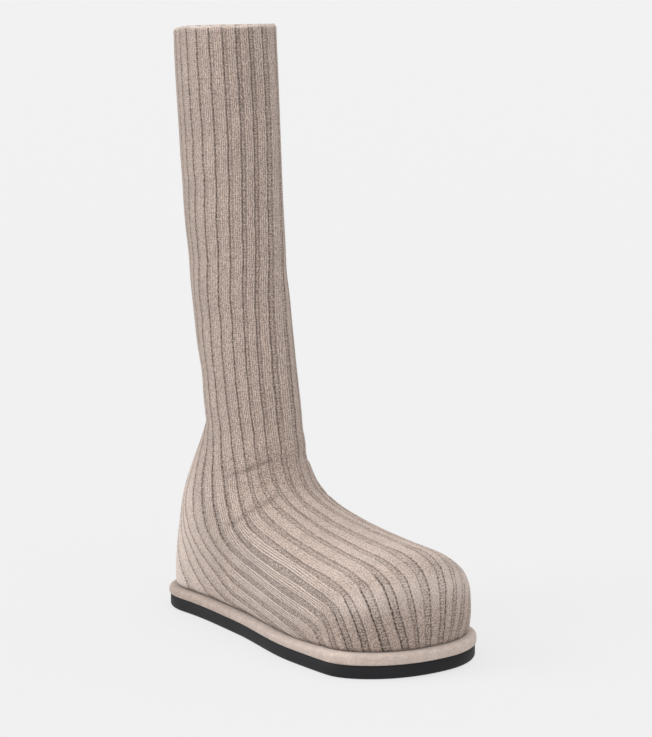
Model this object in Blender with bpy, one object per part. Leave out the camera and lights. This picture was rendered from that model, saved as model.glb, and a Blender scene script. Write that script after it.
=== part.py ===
"""Right-foot sock boot: a rib-knit tube upper on a suede-wrapped midsole and a rubber outsole.

Metres, +Z up, +X towards the toe, +Y towards the inner (medial) side.
The origin is at the middle of the sole's footprint, on the floor.
"""

import bpy
import numpy as np

# Sole unit
SOLE_LENGTH = 0.285
HEEL_WIDTH = 0.0805
WAIST_WIDTH = 0.0945
TOE_WIDTH = 0.124
OUTSOLE_THICKNESS = 0.0095
OUTSOLE_SETBACK = 0.0010
OUTSOLE_EDGE_RADIUS = 0.0018
MIDSOLE_THICKNESS = 0.0078
LEDGE_WIDTH = 0.0052
LEDGE_ROUNDING = 0.0036
TOE_SPRING = 0.0006
TOE_SPRING_START = 0.085
HEEL_BEVEL = 0.0022
HEEL_BEVEL_LENGTH = 0.020
INSOLE_THICKNESS = 0.0040
INSOLE_CLEARANCE = 0.0022

# Upper
TOE_HEIGHT = 0.0620
ANKLE_FRONT_HEIGHT = 0.1175
ANKLE_BACK_HEIGHT = 0.1225
ANKLE_CENTRE = -0.0665
BOOT_HEIGHT = 0.4260
SHAFT_SETBACK = 0.0345
SHAFT_DEPTH = 0.0880
SHAFT_WIDTH = 0.0620
COLLAR_TILT = 0.0055
KNIT_THICKNESS = 0.0026
RIB_COUNT = 28
RIB_RELIEF = 0.0012

# Two faces that touch keep this gap.
SEAT_GAP = 0.0003

# The outline's stations, as shares of the sole length from the heel end, with each side's half
# width there as a share of the width in the last column.
OUTLINE = (
    # station, outer side, inner side, width that both are shares of
    (0.00, 0.500, 0.500, "heel"),
    (0.15, 0.500, 0.500, "heel"),
    (0.40, 0.500, 0.500, "waist"),
    (0.70, 0.505, 0.418, "toe"),
    (0.85, 0.515, 0.485, "toe"),
    (1.00, 0.464, 0.436, "toe"),
)
OUTLINE_WIDTHS = {"heel": HEEL_WIDTH, "waist": WAIST_WIDTH, "toe": TOE_WIDTH}
HEEL_ROUND = {"length": 0.140, "power": 2.2}
TOE_ROUND = {"length": 0.166, "power": 2.25}
OUTLINE_STATIONS = 30

# Shaft sections from the collar to the ankle. Height is a share of the shaft's height, setback a
# share of SHAFT_SETBACK, depth and width shares of the shaft's own.
SHAFT_SECTIONS = (
    # height, setback, depth, width
    (1.000, 1.00, 1.000, 1.00),
    (0.980, 0.99, 1.010, 1.01),
    (0.750, 0.86, 1.010, 1.00),
    (0.540, 0.72, 0.985, 0.99),
    (0.410, 0.59, 0.975, 0.98),
    (0.280, 0.43, 0.970, 0.98),
    (0.160, 0.26, 0.960, 0.98),
    (0.070, 0.12, 0.955, 0.98),
)

# Foot sections from the ankle to the edge that meets the midsole. The runs are shares of the way
# from the ankle to the toe or heel end, instep and toe shares of the heights above the sole at
# the front, heel the share at the back, spread the share of the way from the ankle's half width
# to the sole's, plan the share of the sole's outline in the section's shape, and dip how far the
# section's sides lie below a straight line from its front to its back, as a share of TOE_HEIGHT.
FOOT_SECTIONS = (
    # vamp_run, instep, toe, heel_run, heel, spread, plan, dip
    (0.000, 1.00, 1.000, 0.00, 1.000, 0.00, 0.00, 0.00),
    (0.018, 0.70, 1.000, 0.20, 0.902, 0.09, 0.10, 0.04),
    (0.055, 0.45, 1.000, 0.46, 0.788, 0.21, 0.25, 0.10),
    (0.164, 0.26, 1.000, 0.68, 0.673, 0.38, 0.45, 0.17),
    (0.376, 0.12, 1.000, 0.85, 0.559, 0.55, 0.65, 0.20),
    (0.650, 0.03, 1.000, 0.94, 0.429, 0.72, 0.80, 0.22),
    (0.844, 0.00, 0.980, 0.98, 0.314, 0.86, 0.90, 0.22),
    (0.965, 0.00, 0.830, 0.99, 0.216, 0.97, 0.97, 0.18),
    (1.005, 0.00, 0.570, 1.00, 0.135, 1.01, 1.00, 0.12),
    (1.010, 0.00, 0.280, 1.00, 0.061, 1.02, 1.00, 0.05),
    (1.000, 0.00, 0.000, 1.00, 0.000, 1.00, 1.00, 0.00),
)
ROWS_PER_FOOT_SECTION = 2

# The ribs bunch a little towards the back of the shaft: this is the share of their spacing lost.
RIB_BUNCHING = 0.25
# Where the ribs run on the foot, as the share of the way round from the toe to the heel. Each
# column is one rib, at this share of the way from the front rib to the back one. Each row is one
# depth down the foot. Beside the toe the ribs turn straight down, on a mitre line.
PATH_RIBS = (0.0, 0.214, 0.357, 0.429, 0.500, 0.571, 0.643, 0.714, 0.857, 1.0)
RIB_PATHS = (
    # depth, way round of each rib but the first and the last
    (0.30, 0.177, 0.365, 0.475, 0.575, 0.690, 0.775, 0.825, 0.910),
    (0.50, 0.180, 0.320, 0.560, 0.670, 0.750, 0.810, 0.850, 0.920),
    (0.60, 0.178, 0.280, 0.480, 0.650, 0.735, 0.790, 0.830, 0.900),
    (0.70, 0.150, 0.225, 0.355, 0.575, 0.670, 0.755, 0.805, 0.870),
    (0.80, 0.125, 0.190, 0.235, 0.380, 0.555, 0.695, 0.760, 0.840),
    (0.90, 0.105, 0.177, 0.220, 0.257, 0.355, 0.570, 0.690, 0.820),
    (0.96, 0.095, 0.169, 0.211, 0.243, 0.296, 0.400, 0.620, 0.800),
    (1.00, 0.090, 0.164, 0.205, 0.241, 0.286, 0.321, 0.446, 0.790),
)

# One rib's section: places across it, in rib widths from its crest, and the share of the relief.
RIB_PROFILE = (
    # place, depth
    (-0.24, 0.0),
    (0.24, 0.0),
    (0.50, 1.0),
)

KNIT = {"colour": (0.52, 0.43, 0.375), "roughness": 0.95}
SUEDE = {"colour": (0.62, 0.52, 0.45), "roughness": 0.9}
RUBBER = {"colour": (0.018, 0.018, 0.022), "roughness": 0.55}
LINING = {"colour": (0.45, 0.38, 0.33), "roughness": 0.9}

MIDSOLE_BASE = OUTSOLE_THICKNESS + SEAT_GAP
MIDSOLE_TOP = MIDSOLE_BASE + MIDSOLE_THICKNESS
UPPER_BASE = MIDSOLE_TOP + SEAT_GAP


def smooth_column(knots, values, at):
    """Cubic through the knots that never swings past them (Fritsch-Carlson slopes)."""
    knots, values, at = (np.asarray(a, float) for a in (knots, values, at))
    step = np.diff(knots)
    slope = np.diff(values) / step
    before, after = slope[:-1], slope[1:]
    turning = before * after <= 0
    total = np.where(turning, 1.0, before + after)
    inner = np.where(turning, 0.0, 2 * before * after / total)
    tangent = np.concatenate([slope[:1], inner, slope[-1:]])
    i = np.clip(np.searchsorted(knots, at, side="right") - 1, 0, len(step) - 1)
    s = (at - knots[i]) / step[i]
    rise = (values[i + 1] - values[i]) * s * s * (3 - 2 * s)
    bend = step[i] * s * (1 - s) * ((1 - s) * tangent[i] - s * tangent[i + 1])
    return values[i] + rise + bend


def round_end(way, power):
    """Superellipse quarter: 0 at the tip (way 0), 1 where the side begins (way 1)."""
    return (1 - (1 - np.clip(way, 0, 1)) ** power) ** (1 / power)


def outline_side(stations, column):
    """One side's half widths at the stations, as the sole's own outline."""
    knots = [row[0] for row in OUTLINE]
    widths = [row[column] * OUTLINE_WIDTHS[row[3]] for row in OUTLINE]
    half = smooth_column(knots, widths, stations)
    heel = round_end(stations / HEEL_ROUND["length"], HEEL_ROUND["power"])
    toe = round_end((1 - stations) / TOE_ROUND["length"], TOE_ROUND["power"])
    return half * heel * toe


def outline(inset, count=OUTLINE_STATIONS):
    """(outer, inner): points of the sole's two sides from heel to toe, moved in by inset."""
    stations = 0.5 - 0.5 * np.cos(np.linspace(0, np.pi, count))
    x = (stations - 0.5) * SOLE_LENGTH
    sides = []
    for column, sign in ((1, -1.0), (2, 1.0)):
        side = np.column_stack([x, sign * outline_side(stations, column)])
        along = np.gradient(side, axis=0)
        along[0] = along[-1] = (0, 0)
        along[0, 1], along[-1, 1] = sign, -sign
        along /= np.linalg.norm(along, axis=1)[:, None]
        inward = sign * np.column_stack([along[:, 1], -along[:, 0]])
        sides.append(side + inward * inset)
    return sides


def toe_lift(x):
    """Height that the toe spring adds at x."""
    reach = np.clip((x - TOE_SPRING_START) / (SOLE_LENGTH / 2 - TOE_SPRING_START), 0, None)
    return TOE_SPRING * reach**2


def heel_cut(x):
    """Height that the bevel takes off the outsole's bottom at the heel."""
    reach = np.clip((HEEL_BEVEL_LENGTH - SOLE_LENGTH / 2 - x) / HEEL_BEVEL_LENGTH, 0, None)
    return HEEL_BEVEL * reach**2


def mesh_object(name, points, faces, material, collection):
    mesh = bpy.data.meshes.new(name)
    mesh.from_pydata([tuple(p) for p in points], [], faces)
    mesh.validate()
    mesh.materials.append(material)
    mesh.shade_smooth()
    mesh.set_sharp_from_angle(angle=np.radians(40))
    made = bpy.data.objects.new(name, mesh)
    collection.objects.link(made)
    return made


def plate(name, edge, material, collection, bevelled=False):
    """A plate with the sole's outline: edge gives (inset, height) from its bottom to its top.

    Each height is one closed ring round the outline. The caps are strips across the plate.
    """
    count = OUTLINE_STATIONS
    ring_size = 2 * count - 2
    points = []
    for inset, height in edge:
        outer, inner = outline(inset)
        ring = np.vstack([outer, inner[-2:0:-1]])
        z = height + toe_lift(ring[:, 0])
        if bevelled and height < OUTSOLE_THICKNESS / 2:
            z = z + heel_cut(ring[:, 0])
        points.append(np.column_stack([ring, z]))
    points = np.vstack(points)
    faces = []
    for level in range(len(edge) - 1):
        low = level * ring_size
        for i in range(ring_size):
            j = (i + 1) % ring_size
            faces.append((low + i, low + j, low + ring_size + j, low + ring_size + i))
    top = (len(edge) - 1) * ring_size
    for i in range(count - 1):
        across = [i, i + 1, (ring_size - i - 1) % ring_size, (ring_size - i) % ring_size]
        strip = list(dict.fromkeys(across))
        faces.append(tuple(top + k for k in strip))
        faces.append(tuple(reversed(strip)))
    return mesh_object(name, points, faces, material, collection)


def even_curve(points, ways):
    """Points at these shares of a polyline's length."""
    step = np.linalg.norm(np.diff(points, axis=0), axis=1)
    way = np.concatenate([[0], np.cumsum(step)]) / step.sum()
    return np.column_stack([np.interp(ways, way, points[:, i]) for i in (0, 1)])


def plans():
    """The section shapes: unit ellipse and the sole's two sides, each from front to back."""
    turn = np.linspace(0, np.pi, 181)
    ellipse = np.column_stack([np.cos(turn) * SHAFT_DEPTH, np.sin(turn) * SHAFT_WIDTH])
    sole = outline(LEDGE_WIDTH, 181)
    return ellipse, [side[::-1] * (1, sign) for side, sign in zip(sole, (-1, 1))]


def section_plan(side, ways, share):
    """(length wise from -1 to 1, width wise from 0 to 1) for one side of a section."""
    ellipse, sole = plans()
    round_part = even_curve(ellipse, ways) / (SHAFT_DEPTH, SHAFT_WIDTH)
    long, wide = sole[side][:, 0], sole[side][:, 1]
    middle, half = (long.max() + long.min()) / 2, (long.max() - long.min()) / 2
    sole_part = (even_curve(sole[side], ways) - (middle, 0)) / (half, wide.max())
    share = np.asarray(share)[..., None]
    return round_part * (1 - share) + sole_part * share


def rib_ways(ribs, depth):
    """Where the ribs run at this depth down the foot: 0 at the front, 1 at the back."""
    start = ribs * (1 + RIB_BUNCHING * (1 - ribs))
    paths = [start] + [
        smooth_column(PATH_RIBS, (0.0, *row[1:], 1.0), ribs) for row in RIB_PATHS
    ]
    depths = [0.0] + [row[0] for row in RIB_PATHS]
    i = int(np.clip(np.searchsorted(depths, depth, side="right") - 1, 0, len(depths) - 2))
    share = (depth - depths[i]) / (depths[i + 1] - depths[i])
    return paths[i] + share * (paths[i + 1] - paths[i])


def shaft_rings():
    """Section sizes from the collar down to just above the ankle."""
    rings = []
    ankle_top = UPPER_BASE + max(ANKLE_FRONT_HEIGHT, ANKLE_BACK_HEIGHT)
    for height, setback, depth, width in SHAFT_SECTIONS:
        middle = ANKLE_CENTRE - setback * SHAFT_SETBACK
        z = ankle_top + height * (BOOT_HEIGHT - COLLAR_TILT / 2 - ankle_top)
        half = depth * SHAFT_DEPTH / 2
        rise = COLLAR_TILT / 2 * height - (1 - height) * (ANKLE_BACK_HEIGHT - ANKLE_FRONT_HEIGHT) / 2
        rings.append(
            {
                "front": (middle + half, z + rise),
                "back": (middle - half, z - rise),
                "widths": (width * SHAFT_WIDTH / 2,) * 2,
                "plan": 0.0,
                "dip": 0.0,
                "depth": 0.0,
            }
        )
    return rings


def foot_rings():
    """Section sizes from the ankle down to the midsole, with rows between the table's."""
    table = np.array(FOOT_SECTIONS)
    knots = np.linspace(0, 1, len(table))
    rows = np.linspace(0, 1, (len(table) - 1) * ROWS_PER_FOOT_SECTION + 1)
    columns = [smooth_column(knots, table[:, i], rows) for i in range(table.shape[1])]
    ankle_half = SHAFT_DEPTH / 2 * SHAFT_SECTIONS[-1][2]
    ankle_width = SHAFT_WIDTH / 2 * SHAFT_SECTIONS[-1][3]
    ends = [side[:, 0] for side in outline(LEDGE_WIDTH, 181)]
    heel_end, toe_end = ends[0].min(), ends[0].max()
    half_widths = [np.abs(side[:, 1]).max() for side in outline(LEDGE_WIDTH, 181)]
    rings = []
    for row, section in zip(rows, zip(*columns)):
        vamp_run, instep, toe, heel_run, heel, spread, plan, dip = section
        ankle_front, ankle_back = ANKLE_CENTRE + ankle_half, ANKLE_CENTRE - ankle_half
        front_height = toe * TOE_HEIGHT + instep * (ANKLE_FRONT_HEIGHT - TOE_HEIGHT)
        rings.append(
            {
                "front": (
                    ankle_front + vamp_run * (toe_end - ankle_front),
                    UPPER_BASE + front_height,
                ),
                "back": (
                    ankle_back + heel_run * (heel_end - ankle_back),
                    UPPER_BASE + heel * ANKLE_BACK_HEIGHT,
                ),
                "widths": [ankle_width + spread * (half - ankle_width) for half in half_widths],
                "plan": plan,
                "dip": dip * TOE_HEIGHT,
                "depth": row,
            }
        )
    return rings


def knit_form(ribs, ways_of=rib_ways):
    """The upper's smooth form: an array of rows by ribs by xyz. Ribs run from -1 to 1 round it,
    from the back over the outer side, the front at 0 and the inner side to the back."""
    rows = []
    for ring in shaft_rings() + foot_rings():
        ways = ways_of(np.abs(ribs), ring["depth"])
        (front_x, front_z), (back_x, back_z) = ring["front"], ring["back"]
        row = np.empty((len(ribs), 3))
        for side, sign in ((0, -1.0), (1, 1.0)):
            here = ribs < 0 if side == 0 else ribs >= 0
            plan = section_plan(side, ways[here], ring["plan"])
            share = (plan[:, 0] + 1) / 2
            row[here, 0] = back_x + share * (front_x - back_x)
            row[here, 1] = sign * plan[:, 1] * ring["widths"][side]
            row[here, 2] = back_z + share * (front_z - back_z) - ring["dip"] * plan[:, 1] ** 2
        row[:, 2] += toe_lift(row[:, 0]) * ring["depth"]
        rows.append(row)
    return np.array(rows)


def outward(form):
    """Unit normals of the form, level along the two open edges so that those stay flat."""
    down = np.gradient(form, axis=0)
    round_way = (np.roll(form, -1, axis=1) - np.roll(form, 1, axis=1)) / 2
    normal = np.cross(down, round_way)
    normal[[0, -1], :, 2] = 0
    return normal / np.linalg.norm(normal, axis=2)[:, :, None]


def upper(material, collection):
    """The knitted tube: ribs stand on its outer wall, and its inner wall is smooth."""
    places = [(k + place, depth) for k in range(RIB_COUNT) for place, depth in RIB_PROFILE]
    ribs = np.array([p[0] for p in places]) * 2 / RIB_COUNT
    ribs = np.where(ribs > 1, ribs - 2, ribs)
    order = np.argsort(ribs)
    relief = np.array([p[1] for p in places])[order] * RIB_RELIEF
    form = knit_form(ribs[order])
    normal = outward(form)
    outer = form - normal * relief[None, :, None]
    inner = form - normal * KNIT_THICKNESS
    count, rows = form.shape[1], form.shape[0]
    points = np.vstack([outer.reshape(-1, 3), inner.reshape(-1, 3)])
    shift = rows * count
    faces = []
    for i in range(count):
        j = (i + 1) % count
        for r in range(rows - 1):
            a, b, c, d = r * count + i, r * count + j, (r + 1) * count + j, (r + 1) * count + i
            faces.append((a, d, c, b))
            faces.append((shift + a, shift + b, shift + c, shift + d))
        last = (rows - 1) * count
        faces.append((i, j, shift + j, shift + i))
        faces.append((last + j, last + i, shift + last + i, shift + last + j))
    return mesh_object("upper", points, faces, material, collection)


def midsole(material, collection):
    """A suede-wrapped plate that stands out round the upper, with a rounded top edge."""
    turns = np.linspace(0, np.pi / 2, 5)
    radius = min(LEDGE_ROUNDING, MIDSOLE_THICKNESS * 0.7)
    edge = [(0.0006, MIDSOLE_BASE), (0.0, MIDSOLE_BASE + 0.0008)]
    edge += [
        (radius * (1 - np.cos(turn)), MIDSOLE_TOP - radius * (1 - np.sin(turn))) for turn in turns
    ]
    return plate("midsole", edge, material, collection)


def outsole(material, collection):
    """A flat rubber sole with a soft bottom edge, bevelled up behind the heel."""
    radius = OUTSOLE_EDGE_RADIUS
    edge = [
        (OUTSOLE_SETBACK + radius, 0.0),
        (OUTSOLE_SETBACK + radius * 0.3, radius * 0.3),
        (OUTSOLE_SETBACK, radius),
        (OUTSOLE_SETBACK, OUTSOLE_THICKNESS),
    ]
    return plate("outsole", edge, material, collection, bevelled=True)


def insole(material, collection):
    """The footbed that lies on the midsole inside the upper."""
    inset = LEDGE_WIDTH + KNIT_THICKNESS + INSOLE_CLEARANCE
    low = MIDSOLE_TOP + SEAT_GAP
    edge = [(inset, low), (inset, low + INSOLE_THICKNESS)]
    return plate("insole", edge, material, collection)


def finish(name, look):
    material = bpy.data.materials.new(name)
    material.use_nodes = True
    shader = material.node_tree.nodes["Principled BSDF"]
    shader.inputs["Base Color"].default_value = (*look["colour"], 1)
    shader.inputs["Roughness"].default_value = look["roughness"]
    shader.inputs["Metallic"].default_value = 0.0
    return material


def main():
    for old in list(bpy.data.objects):
        bpy.data.objects.remove(old)
    collection = bpy.data.collections.new("sock_boot")
    bpy.context.scene.collection.children.link(collection)
    outsole(finish("rubber", RUBBER), collection)
    midsole(finish("suede", SUEDE), collection)
    insole(finish("lining", LINING), collection)
    upper(finish("knit", KNIT), collection)


main()
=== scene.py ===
import bpy
import numpy as np
from mathutils import Matrix


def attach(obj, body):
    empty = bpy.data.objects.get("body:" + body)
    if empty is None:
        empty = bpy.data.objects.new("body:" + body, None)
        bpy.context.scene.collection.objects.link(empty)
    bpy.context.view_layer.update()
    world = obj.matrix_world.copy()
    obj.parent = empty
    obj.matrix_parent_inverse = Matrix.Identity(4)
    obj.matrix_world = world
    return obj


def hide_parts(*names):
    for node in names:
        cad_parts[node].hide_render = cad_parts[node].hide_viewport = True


# Right-foot sock boot: the rib-knit upper, suede rand, rubber outsole and footbed are worked out here.
# Metres. +X runs to the toe, +Y to the inner side, +Z up, and the origin lies under the sole.

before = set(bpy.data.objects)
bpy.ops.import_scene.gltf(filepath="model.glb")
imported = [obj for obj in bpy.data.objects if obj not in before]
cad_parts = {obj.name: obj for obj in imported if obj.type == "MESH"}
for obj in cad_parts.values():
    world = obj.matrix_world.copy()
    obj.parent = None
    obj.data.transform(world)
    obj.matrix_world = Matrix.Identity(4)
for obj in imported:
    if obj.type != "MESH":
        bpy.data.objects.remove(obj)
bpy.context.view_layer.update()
scene = bpy.context.scene
scene.view_settings.view_transform = "Standard"
scene.view_settings.look = "None"

# Camera, floor and light

view = {
    "place": (1.9552, -1.4862, 0.6379),
    "azimuth": 52.52,  # degrees round the boot, 0 looks along +Y
    "elevation": 10.35,
    "focalShare": 4.8593,  # focal length over the picture's height
    "sensor": 36,  # millimetres
    "farEnd": 200,
}
studio = {
    "floorSize": 60.0,
    "ambient": 0.515,
    "aim": (0, 0, 0.1),
}
# its glow lifts the shadow, as on the bright paper
floorPaper = {
    "Base Color": (0.10, 0.10, 0.10, 1),
    "Roughness": 0.9,
    "Specular IOR Level": 0.1,
    "Emission Color": (1, 1, 1, 1),
    "Emission Strength": 0.720,
}
# name, place it shines from, power and degrees across, wide for soft shadows
lamps = (
    ("key", (-1.6, -2.6, 2.0), 1.72, 38),
    ("top", (-0.2, 0.1, 4.0), 1.62, 60),
    ("fill", (2.6, -0.9, 1.2), 1.12, 80),
)


def aimed(kind, name, place, toPoint):
    # An object at place whose local -Z points at toPoint.
    item = bpy.data.objects.new(name, kind)
    scene.collection.objects.link(item)
    back = np.array(place, float) - np.array(toPoint, float)
    back /= np.linalg.norm(back)
    right = np.cross((0, 0, 1), back)
    right /= np.linalg.norm(right)
    up = np.cross(back, right)
    turn = np.eye(4)
    turn[:3, 0], turn[:3, 1], turn[:3, 2], turn[:3, 3] = right, up, back, place
    item.matrix_world = Matrix(turn.tolist())
    return item


def makeCamera():
    lens = bpy.data.cameras.new("camera")
    lens.sensor_fit = "VERTICAL"
    lens.sensor_height = view["sensor"]
    lens.lens = view["sensor"] * view["focalShare"]
    lens.clip_end = view["farEnd"]
    turn, tilt = np.radians(view["azimuth"]), np.radians(view["elevation"])
    back = np.array((np.sin(turn) * np.cos(tilt), -np.cos(turn) * np.cos(tilt), np.sin(tilt)))
    place = np.array(view["place"])
    scene.camera = aimed(lens, "camera", place, place - back)


def makeStudio():
    half = studio["floorSize"] / 2
    mesh = bpy.data.meshes.new("floor")
    mesh.from_pydata(
        [(-half, -half, 0), (half, -half, 0), (half, half, 0), (-half, half, 0)], [], [(0, 1, 2, 3)]
    )
    floor = bpy.data.objects.new("floor", mesh)
    scene.collection.objects.link(floor)
    paper = bpy.data.materials.new("floorPaper")
    paper.use_nodes = True
    shader = paper.node_tree.nodes["Principled BSDF"]
    for name, value in floorPaper.items():
        shader.inputs[name].default_value = value
    mesh.materials.append(paper)

    world = bpy.data.worlds.new("studio")
    world.use_nodes = True
    sky = world.node_tree.nodes["Background"]
    sky.inputs["Color"].default_value = (1, 1, 1, 1)
    sky.inputs["Strength"].default_value = studio["ambient"]
    scene.world = world

    for name, place, power, angle in lamps:
        lamp = bpy.data.lights.new(name, "SUN")
        lamp.energy = power
        lamp.angle = np.radians(angle)
        aimed(lamp, name, place, studio["aim"])


makeCamera()
makeStudio()
print("camera and studio set")

# Shape of the sole

sole = {
    "length": 0.285,
    "heelWidth": 0.0805,
    "waistWidth": 0.0945,
    "toeWidth": 0.124,
    "heelRound": (0.140, 2.2),  # length over the sole's, power
    "toeRound": (0.166, 2.25),
    "toeSpring": 0.0006,
    "springStart": 0.085,
}
# station along the sole from the heel, outer half width, inner half width, width both are shares of
soleOutline = (
    (0.00, 0.500, 0.500, "heelWidth"),
    (0.15, 0.500, 0.500, "heelWidth"),
    (0.40, 0.500, 0.500, "waistWidth"),
    (0.70, 0.505, 0.418, "toeWidth"),
    (0.85, 0.515, 0.485, "toeWidth"),
    (1.00, 0.464, 0.436, "toeWidth"),
)
rubber = {
    "thickness": 0.0095,
    "setback": 0.0010,
    "edgeRadius": 0.0022,
    "topBevel": 0.0004,
    "topInset": 0.0003,
    "gap": 0.0003,  # between it and the rand, and above the rand
}
rand = {
    "thickness": 0.0078,
    "ledge": 0.0052,
    "rounding": 0.0036,
    "thinning": 0.0021,  # how much lower its top lies behind the toe
    "thinFrom": 0.115,
    "thinTo": 0.045,
    "followHeight": 0.030,  # height of the knit that sinks with it
    "bottomEdge": ((0.0009, 0.0), (0.0002, 0.0005), (0.0, 0.0014), (0.0, 0.0030)),  # inset and rise
}
bed = {"thickness": 0.0040, "clearance": 0.0022, "bevel": 0.0010}
floorOfUpper = rubber["thickness"] + rand["thickness"] + 2 * rubber["gap"]


def easedColumn(knots, values, at):
    # Cubic through the knots with harmonic-mean slopes, so that it never swings past them.
    knots, values, at = (np.asarray(a, float) for a in (knots, values, at))
    step = np.diff(knots)
    slope = np.diff(values) / step
    before, after = slope[:-1], slope[1:]
    turning = before * after <= 0
    inner = np.where(turning, 0.0, 2 * before * after / np.where(turning, 1.0, before + after))
    tangent = np.concatenate([slope[:1], inner, slope[-1:]])
    i = np.clip(np.searchsorted(knots, at, side="right") - 1, 0, len(step) - 1)
    s = (at - knots[i]) / step[i]
    rise = (values[i + 1] - values[i]) * s * s * (3 - 2 * s)
    return values[i] + rise + step[i] * s * (1 - s) * ((1 - s) * tangent[i] - s * tangent[i + 1])


def roundedEnd(way, power):
    # Superellipse quarter: (1 - (1 - way)^power)^(1/power).
    return (1 - (1 - np.clip(way, 0, 1)) ** power) ** (1 / power)


def soleSides(inset, count=200):
    # Half widths eased between the stations times a rounded end at heel and toe, moved in by inset.
    stations = 0.5 - 0.5 * np.cos(np.linspace(0, np.pi, count))
    x = (stations - 0.5) * sole["length"]
    knots = [row[0] for row in soleOutline]
    heelLength, heelPower = sole["heelRound"]
    toeLength, toePower = sole["toeRound"]
    ends = roundedEnd(stations / heelLength, heelPower) * roundedEnd((1 - stations) / toeLength, toePower)
    sides = []
    for column, sign in ((1, -1.0), (2, 1.0)):
        widths = [row[column] * sole[row[3]] for row in soleOutline]
        side = np.column_stack([x, sign * easedColumn(knots, widths, stations) * ends])
        along = np.gradient(side, axis=0)
        along[0], along[-1] = (0, sign), (0, -sign)
        along /= np.linalg.norm(along, axis=1)[:, None]
        sides.append(side + sign * np.column_stack([along[:, 1], -along[:, 0]]) * inset)
    return sides


def evenWay(points, ways):
    # Points at these shares of a line's length.
    step = np.linalg.norm(np.diff(points, axis=0), axis=1)
    way = np.concatenate([[0], np.cumsum(step)]) / step.sum()
    return [np.interp(ways, way, points[:, i]) for i in (0, 1)]


def soleRing(inset, count):
    # The whole outline as count points at even steps of its length.
    outer, inner = soleSides(inset)
    return np.column_stack(evenWay(np.vstack([outer, inner[-2::-1]]), np.arange(count) / count))


def toeLift(x):
    reach = np.clip((x - sole["springStart"]) / (sole["length"] / 2 - sole["springStart"]), 0, None)
    return sole["toeSpring"] * reach**2


def randDrop(x):
    # The suede thins from the toe to the waist, as a smooth step along the sole.
    way = np.clip((rand["thinFrom"] - x) / (rand["thinFrom"] - rand["thinTo"]), 0, 1)
    return rand["thinning"] * way * way * (3 - 2 * way)


# Shape of the upper

upper = {
    "toeHeight": 0.0620,
    "ankleFront": 0.1175,
    "ankleBack": 0.1225,
    "ankleCentre": -0.0665,
    "bootHeight": 0.4260,
    "setback": 0.0345,
    "depth": 0.0880,
    "width": 0.0620,
    "collarTilt": 0.0055,
    "collarSlump": 0.0030,
    "nearWay": 0.30,  # share of the way round of the collar's highest place
    "wall": 0.0026,
    "ribs": 28,
    "ribWidth": 0.0094,  # usual, for the length of one uv step
    "ringPoints": 241,
    "belowCollar": 0.007,  # first even row, metres below the edge
    "shaftRows": 59,
    "collarRows": (0.0, 0.0004, 0.0010, 0.0018, 0.0030, 0.0046),  # metres below the edge
    "footRows": 120,
    "innerRows": 34,
}
# columns of one rib, in rib widths from its crest, closest together beside the slits
ribColumns = (
    -0.50, -0.44, -0.395, -0.365, -0.335, -0.30, -0.22, -0.10,
    0.00, 0.10, 0.22, 0.30, 0.335, 0.365, 0.395, 0.44,
)
# share of the shaft's height, setback, depth, width
shaftSections = (
    (1.000, 1.00, 1.000, 1.00),
    (0.980, 0.99, 1.010, 1.01),
    (0.750, 0.86, 1.010, 1.00),
    (0.540, 0.72, 0.985, 0.99),
    (0.410, 0.59, 0.975, 0.98),
    (0.280, 0.43, 0.970, 0.98),
    (0.160, 0.26, 0.960, 0.98),
    (0.070, 0.12, 0.955, 0.98),
)
# vamp run, instep, toe, heel run, heel, spread, plan, dip
footSections = (
    (0.000, 1.00, 1.000, 0.00, 1.000, 0.00, 0.00, 0.00),
    (0.018, 0.70, 1.000, 0.20, 0.902, 0.09, 0.10, 0.04),
    (0.055, 0.45, 1.000, 0.46, 0.788, 0.21, 0.25, 0.10),
    (0.164, 0.26, 1.000, 0.68, 0.673, 0.38, 0.45, 0.17),
    (0.376, 0.12, 1.000, 0.85, 0.559, 0.55, 0.65, 0.20),
    (0.650, 0.03, 1.000, 0.94, 0.429, 0.72, 0.80, 0.22),
    (0.844, 0.00, 0.980, 0.98, 0.314, 0.86, 0.90, 0.22),
    (0.965, 0.00, 0.830, 0.99, 0.216, 0.97, 0.97, 0.18),
    (1.005, 0.00, 0.570, 1.00, 0.135, 1.01, 1.00, 0.12),
    (1.010, 0.00, 0.280, 1.00, 0.061, 1.02, 1.00, 0.05),
    (1.000, 0.00, 0.000, 1.00, 0.000, 1.00, 1.00, 0.00),
)
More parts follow.
